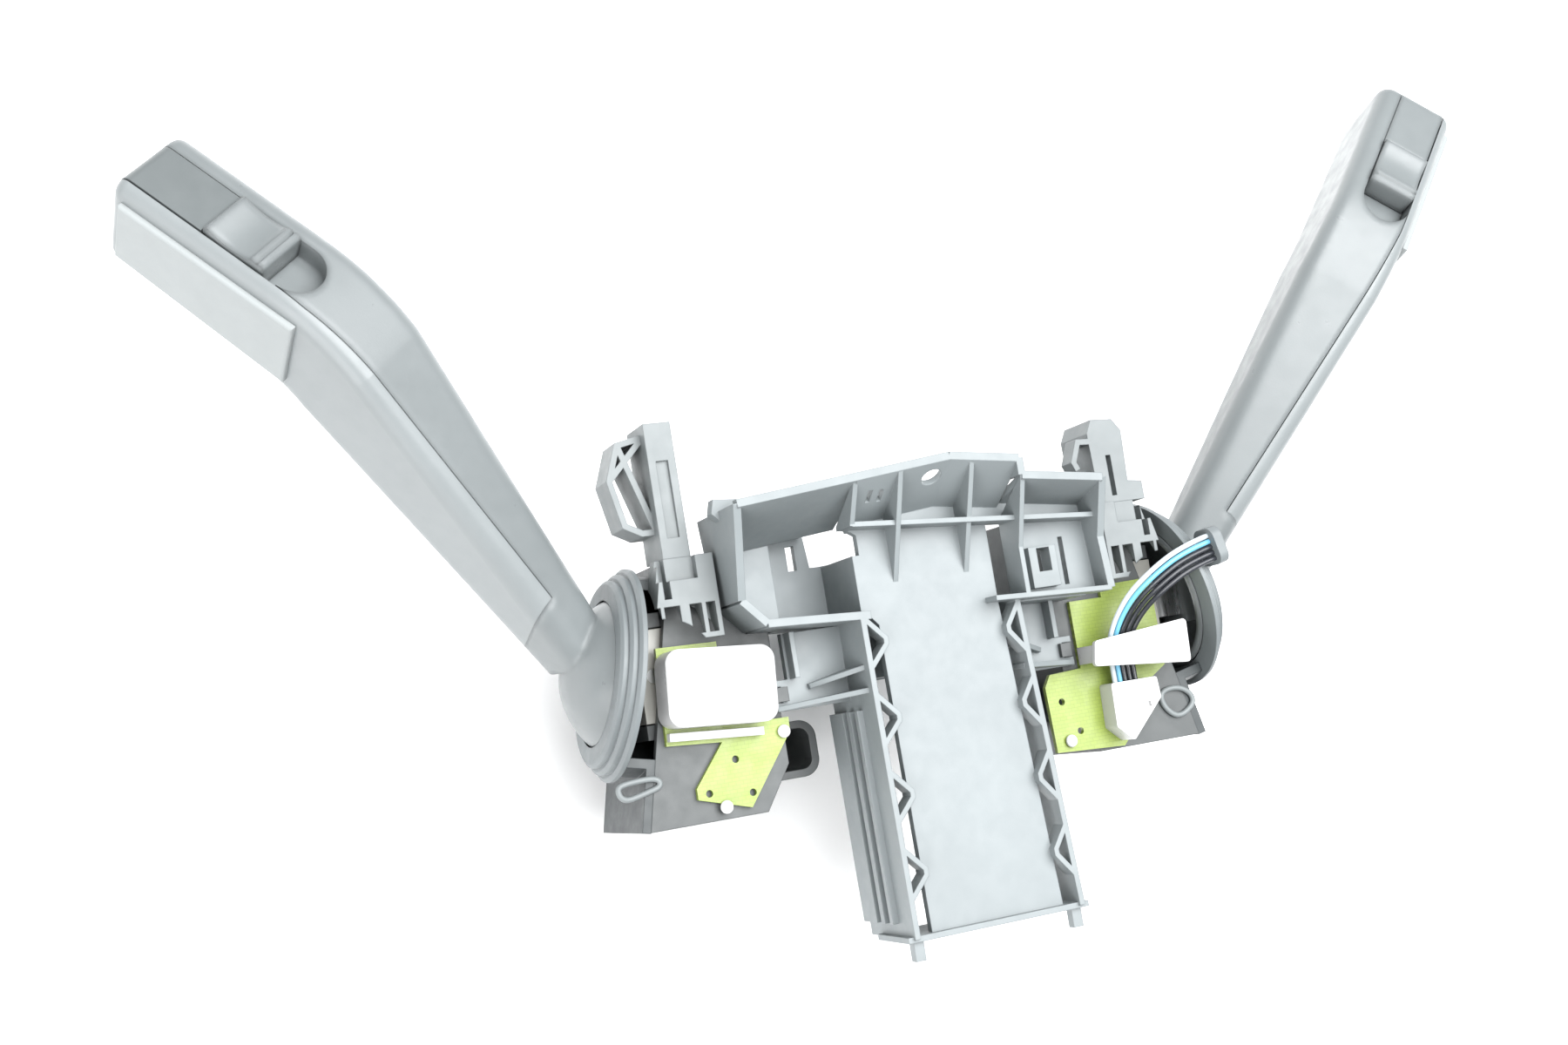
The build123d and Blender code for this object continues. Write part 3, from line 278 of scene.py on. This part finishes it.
# Colour and roughness of each plastic, with what sets it apart from the usual one
PLASTICS = {
    "carrier_plastic": ((0.175, 0.194, 0.2), 0.48, {"spread": 0.05}),
    "housing_plastic": ((0.055, 0.06, 0.061), 0.5, {}),
    "dark_plastic": ((0.028, 0.034, 0.036), 0.48, {}),
    "stalk_plastic": (
        (0.138, 0.151, 0.154),
        0.34,
        {"grain": STALK_GRAIN, "spread": 0.04, "rounding": STALK_ROUNDING},
    ),
    "inner_plastic": ((0.30, 0.295, 0.27), 0.35, {"spread": 0.04}),
    "white_plastic": ((0.50, 0.50, 0.50), 0.32, {"spread": 0.015, "depth": FINE_DEPTH}),
    "boot_rubber": ((0.13, 0.145, 0.15), 0.5, {"grain": RUBBER_GRAIN, "depth": RUBBER_DEPTH}),
    "blue_wire": ((0.12, 0.36, 0.52), 0.3, {"spread": 0.05}),
    "white_wire": ((0.42, 0.47, 0.50), 0.3, {"spread": 0.03}),
    "black_wire": ((0.02, 0.022, 0.027), 0.28, {"spread": 0.2}),
    "bracket_plastic": ((0.15, 0.165, 0.168), 0.5, {"spread": 0.05}),
    "tip_plastic": ((0.102, 0.113, 0.115), 0.36, {"grain": STALK_GRAIN, "spread": 0.03}),
    # Lighter copy of the stalk plastic for the stalk covers: painted light on their lit faces
    "stalk_lower_painted_light": ((0.178, 0.193, 0.197), 0.36, {"grain": STALK_GRAIN, "spread": 0.03}),
    "soft_grip": (
        (0.25, 0.266, 0.268),
        0.6,
        {"grain": GRIP_GRAIN, "depth": GRIP_DEPTH, "spread": 0.03},
    ),
}
MATERIALS = {
    name: moulded(name, colour, roughness, **own)
    for name, (colour, roughness, own) in PLASTICS.items()
}
MATERIALS["circuit_board"] = lacquered_board("circuit_board", (0.22, 0.285, 0.05))
MATERIALS["steel"] = plated("steel", (0.62, 0.63, 0.64), 0.32)

# Pieces whose material differs from the rest of their slot; the stalk covers take a lighter
# copy of the stalk plastic, which is painted light
OWN_FINISH = {
    "wiper_bracket": "bracket_plastic",
    "signal_bracket": "bracket_plastic",
    "wiper_cover": "bracket_plastic",
    "signal_cover": "bracket_plastic",
    "wiper_tip": "tip_plastic",
    "wiper_stalk_cover": "stalk_lower_painted_light",
    "signal_stalk_cover": "stalk_lower_painted_light",
    "wiper_grip_panel": "soft_grip",
    "signal_grip_panel": "soft_grip",
}

# Each CAD node takes its own finish, or else the material of its slot in the record
for subpart in frame["record"]["subparts"]:
    mesh = nodes[subpart["node"]].data
    mesh.materials.clear()
    finish = OWN_FINISH.get(subpart["node"], subpart["material_slot"])
    mesh.materials.append(MATERIALS[finish])


def rod_curve(name, points, radius, facets, steps, material, closed=False):
    """Round rod that bends smoothly after its control points, open or as a loop."""
    data = bpy.data.curves.new(name, "CURVE")
    data.dimensions = "3D"
    data.bevel_depth = radius
    data.bevel_resolution = facets
    data.use_fill_caps = not closed
    line = data.splines.new("NURBS")
    line.points.add(len(points) - 1)
    for control, point in zip(line.points, points):
        control.co = (*point, 1)
    line.order_u = 3
    line.use_endpoint_u = not closed
    line.use_cyclic_u = closed
    line.resolution_u = steps
    data.materials.append(MATERIALS[material])
    return data


def as_mesh(data, name):
    """Object with the curve's final mesh."""
    draft = bpy.data.objects.new(name + "_draft", data)
    bpy.context.scene.collection.objects.link(draft)
    graph = bpy.context.evaluated_depsgraph_get()
    mesh = bpy.data.meshes.new_from_object(draft.evaluated_get(graph))
    bpy.data.objects.remove(draft)
    mesh.name = name
    piece = bpy.data.objects.new(name, mesh)
    bpy.context.scene.collection.objects.link(piece)
    return piece


# Wires: round and smooth, along the route of the six-sided solids that they replace
WIRE_RADIUS = 0.00075
WIRE_FACETS = 5
WIRE_STEPS = 12
WIRE_PITCH = 0.0017
WIRE_MIDDLE = (
    (0.08779, 0.01025, 0.04710),
    (0.07900, 0.00829, 0.04710),
    (0.06950, 0.00320, 0.04500),
    (0.06260, -0.00280, 0.04100),
    (0.05860, -0.01140, 0.03620),
    (0.06020, -0.01840, 0.03300),
    (0.06020, -0.02400, 0.03300),
)
WIRES = (
    ("wire_white", "white_wire"),
    ("wire_blue", "blue_wire"),
    ("wire_black_inner", "black_wire"),
    ("wire_black_middle", "black_wire"),
    ("wire_black_outer", "black_wire"),
)


def wire_route(offset):
    """Control points of one wire, beside the bundle's middle in plan."""
    route = []
    last = len(WIRE_MIDDLE) - 1
    for index, point in enumerate(WIRE_MIDDLE):
        before = Vector(WIRE_MIDDLE[max(index - 1, 0)])
        after = Vector(WIRE_MIDDLE[min(index + 1, last)])
        heading = (after - before).to_2d().normalized()
        route.append(Vector(point) + Vector((heading.y, -heading.x, 0)) * offset)
    return route


for place, (node, slot) in enumerate(WIRES):
    route = wire_route((len(WIRES) // 2 - place) * WIRE_PITCH)
    data = rod_curve(node + "_round", route, WIRE_RADIUS, WIRE_FACETS, WIRE_STEPS, slot)
    wire = bpy.data.objects.new(node + "_round", data)
    bpy.context.scene.collection.objects.link(wire)
    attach(wire, "root")
    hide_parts(node)

# Springs: round wire coils, attached to each stalk's body
SPRING_TURNS = 4
SPRING_STEPS = 16
SPRING_RADIUS = 0.0018
SPRING_WIRE = 0.00035
SPRING_FACETS = 3
SPRING_NEAR = 0.0627
SPRING_LONG = 0.0076
PIVOT_Y = -0.002
PIVOT_Z = 0.0165
for side, sign in (("wiper", -1), ("signal", 1)):
    last = SPRING_TURNS * SPRING_STEPS
    coil = []
    for index in range(last + 1):
        angle = 2 * pi * index / SPRING_STEPS
        along = sign * (SPRING_NEAR + SPRING_LONG * index / last)
        across = PIVOT_Y + SPRING_RADIUS * cos(angle)
        coil.append((along, across, PIVOT_Z + SPRING_RADIUS * sin(angle)))
    data = rod_curve(side + "_spring_line", coil, SPRING_WIRE, SPRING_FACETS, 2, "steel")
    spring = as_mesh(data, side + "_spring_round")
    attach(spring, side + "_stalk_body")
    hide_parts(side + "_spring")
    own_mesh(spring)

# Cable guides: thin loops at the housings' front, corner points in mm
GUIDE_LOOPS = {
    "wiper": (
        (-93.2, -29.9),
        (-89.5, -29.0),
        (-81.7, -28.8),
        (-80.7, -31.3),
        (-85.2, -32.4),
        (-91.7, -33.9),
    ),
    "signal": (
        (74.1, -28.8),
        (80.5, -28.1),
        (84.8, -30.9),
        (84.7, -34.2),
        (78.9, -37.3),
        (74.6, -33.5),
    ),
}
GUIDE_Z = 0.0277
GUIDE_RADIUS = 0.0008
GUIDE_FACETS = 3
GUIDE_STEPS = 10
for side, loop in GUIDE_LOOPS.items():
    corners = [(x * MM, y * MM, GUIDE_Z) for x, y in loop]
    data = rod_curve(
        side + "_guide_line",
        corners,
        GUIDE_RADIUS,
        GUIDE_FACETS,
        GUIDE_STEPS,
        "bracket_plastic",
        closed=True,
    )
    guide = as_mesh(data, side + "_cable_guide")
    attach(guide, "root")

# Pegs beside the boards, with rounded heads, places in mm
PEGS = {
    "wiper_peg_low": (-64.2, -39.6),
    "wiper_peg_high": (-44.8, -22.2),
    "signal_peg": (41.6, -38.4),
}
PEG_RADIUS = 0.0018
PEG_FOOT = 0.0286
PEG_HEIGHT = 0.0014
PEG_SIDES = 40
PEG_ROUNDING = PEG_HEIGHT * 0.45
for name, (x, y) in PEGS.items():
    bpy.ops.mesh.primitive_cylinder_add(
        vertices=PEG_SIDES,
        radius=PEG_RADIUS,
        depth=PEG_HEIGHT,
        location=(x * MM, y * MM, PEG_FOOT + PEG_HEIGHT / 2),
    )
    peg = bpy.context.object
    peg.name = name
    rounding = peg.modifiers.new("rounding", "BEVEL")
    rounding.width = PEG_ROUNDING
    rounding.segments = 4
    rounding.limit_method = "ANGLE"
    for face in peg.data.polygons:
        face.use_smooth = True
    peg.data.materials.append(MATERIALS["white_plastic"])
    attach(peg, "root")

# Floor under the whole object
floor_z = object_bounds()[0][2] - FLOOR_GAP
bpy.ops.mesh.primitive_plane_add(size=FLOOR_SIZE, location=(0, 0, floor_z))
floor = bpy.context.object
floor.name = "floor"
paper = Shader("floor_paper")
paper.link(
    paper.blend(paper.ramp(paper.noise(FLOOR_WAVES), 0.0, 1.0), *FLOOR_SHADES),
    paper.surface.inputs["Base Color"],
)
paper.surface.inputs["Roughness"].default_value = FLOOR_ROUGHNESS
floor.data.materials.append(paper.material)

# Camera, lights and surroundings
add_camera()
add_area_light("overhead", OVERHEAD_AT, OVERHEAD_SIZE, OVERHEAD_WATTS, OVERHEAD_TINT)
add_area_light("key", KEY_AT, KEY_SIZE, KEY_WATTS)
world = bpy.data.worlds.new("studio")
world.use_nodes = True
world.node_tree.nodes["Background"].inputs["Color"].default_value = WORLD_COLOUR
world.node_tree.nodes["Background"].inputs["Strength"].default_value = WORLD_STRENGTH
bpy.context.scene.world = world
bpy.context.scene.view_settings.view_transform = "Standard"
